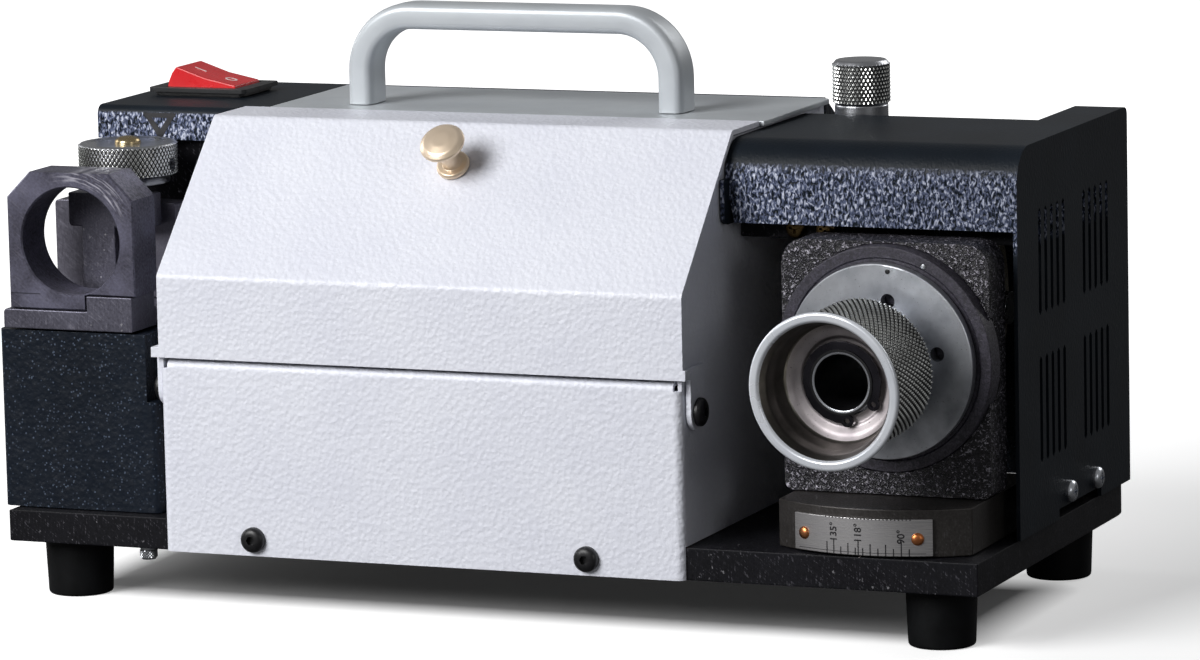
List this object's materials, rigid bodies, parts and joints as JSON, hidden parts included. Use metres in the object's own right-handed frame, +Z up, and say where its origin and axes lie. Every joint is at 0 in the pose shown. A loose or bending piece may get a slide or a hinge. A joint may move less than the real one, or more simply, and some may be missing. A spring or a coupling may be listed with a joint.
{
  "type": "drill bit grinder",
  "caption": "Bench drill bit grinder: cased motor, hinged lid over a collet rack, collet chuck on a swivelling angle scale, length-setting gauge and rocker switch on a steel base plate.",
  "frame": {"origin": "centre of the footprint, on the bench top under the rubber feet", "axes": "+X to the operator's right along the base plate, +Y away from the operator, +Z up"},
  "size_m": [0.3152, 0.1782, 0.176],
  "materials": {
    "white_coat": "white powder coat with a fine pebble",
    "grey_coat": "light grey paint, satin",
    "blue_coat": "dark blue-grey powder coat with a coarse pebble",
    "black_steel": "machined steel, black oxide",
    "grey_steel": "machined steel, oiled",
    "zinc": "zinc plated and turned steel, knurled where gripped",
    "scale_metal": "satin aluminium with dark marks",
    "cast_black": "black crinkle paint on cast iron",
    "rubber": "black moulded rubber",
    "brass": "polished pale brass",
    "red_plastic": "red moulded plastic",
    "black_plastic": "black moulded plastic",
    "abrasive": "bonded abrasive grit"
  },
  "bodies": {
    "frame": {"base_plate": "black_steel", "foot_front_left": "rubber", "foot_front_right": "rubber", "foot_rear_left": "rubber", "foot_rear_right": "rubber", "centre_cover": "white_coat", "hinge_screw_left": "black_steel", "hinge_screw_right": "black_steel", "top_plate": "grey_coat", "carry_handle": "grey_coat", "rear_cover": "blue_coat", "right_cover": "blue_coat", "roof_bracket": "black_steel", "wheel_access_cover": "blue_coat", "thumb_block": "black_steel", "left_housing": "blue_coat", "gauge_pillar": "black_steel", "gauge_base": "black_steel", "gauge_block": "black_steel", "stop_plate": "grey_steel", "upper_left_cover": "blue_coat", "switch_wall": "black_steel", "switch_housing": "black_plastic", "capacitor": "zinc", "cable_gland": "black_plastic", "motor_stator": "cast_black", "motor_end_left": "cast_black", "motor_end_right": "cast_black", "bearing_left": "zinc", "bearing_right": "zinc", "bearing_spindle": "zinc", "motor_cradle": "cast_black", "spindle_pedestal": "cast_black", "collet_rack": "grey_coat", "spare_collet_1": "zinc", "spare_collet_2": "zinc", "spare_collet_3": "zinc", "spare_collet_4": "zinc"},
    "lid": {"lid": "white_coat", "lid_knob": "brass"},
    "rocker": {"switch_rocker": "red_plastic"},
    "adjuster": {"adjust_knob": "zinc", "adjust_screw": "brass"},
    "stop": {"stop_slide": "black_steel"},
    "thumb_knob": {"thumb_knob": "zinc"},
    "spindle": {"rotor_spindle": "zinc", "cooling_fan": "black_plastic", "wheel_flange": "grey_steel", "grinding_wheel": "abrasive", "wheel_nut": "zinc"},
    "swivel": {"angle_base": "black_steel", "scale_plate": "scale_metal", "swivel_head": "cast_black", "pivot_pin": "grey_steel", "port_bush": "black_steel"},
    "guide": {"guide_flange": "zinc"},
    "chuck": {"chuck_tube": "grey_steel", "circlip": "black_steel", "collet": "zinc"},
    "nut": {"chuck_nut": "zinc"}
  },
  "joints": [
    {"name": "lid_hinge", "type": "hinge", "parent": "frame", "child": "lid", "pos_m": [-0.0166, -0.05657, 0.0666], "axis": [1, 0, 0], "range_deg": [0, 85]},
    {"name": "switch_rock", "type": "hinge", "parent": "frame", "child": "rocker", "pos_m": [-0.1246, 0.02823, 0.1452], "axis": [0, -1, 0], "range_deg": [0, 30.4]},
    {"name": "adjuster_turn", "type": "hinge", "parent": "frame", "child": "adjuster", "pos_m": [-0.128, -0.02537, 0.12], "axis": [0, 0, 1], "range_deg": [-60, 60]},
    {"name": "stop_travel", "type": "slide", "parent": "frame", "child": "stop", "axis": [0, 1, 0], "range_m": [-0.0015, 0.0015]},
    {"name": "thumb_knob_turn", "type": "hinge", "parent": "frame", "child": "thumb_knob", "pos_m": [0.0828, 0.04743, 0.14], "axis": [0, 0, 1], "continuous": true},
    {"name": "spindle_turn", "type": "hinge", "parent": "frame", "child": "spindle", "pos_m": [0.0464, 0.03343, 0.086], "axis": [1, 0, 0], "continuous": true},
    {"name": "head_swivel", "type": "hinge", "parent": "frame", "child": "swivel", "pos_m": [0.1214, -0.01207, 0.04], "axis": [0, 0, 1], "range_deg": [-14, 8.5]},
    {"name": "chuck_slide", "type": "slide", "parent": "swivel", "child": "guide", "axis": [-0.047, -0.9975, -0.0523], "range_m": [0, 0.06]},
    {"name": "chuck_turn", "type": "hinge", "parent": "guide", "child": "chuck", "pos_m": [0.1216, -0.04607, 0.0817], "axis": [-0.047, -0.9975, -0.0523], "continuous": true},
    {"name": "nut_turn", "type": "hinge", "parent": "chuck", "child": "nut", "pos_m": [0.1216, -0.04607, 0.0817], "axis": [-0.047, -0.9975, -0.0523], "range_deg": [-30, 330]}
  ],
  "couplings": [
    {"joint": "stop_travel", "follows": "adjuster_turn", "m_per_rad": -0.00135}
  ]
}
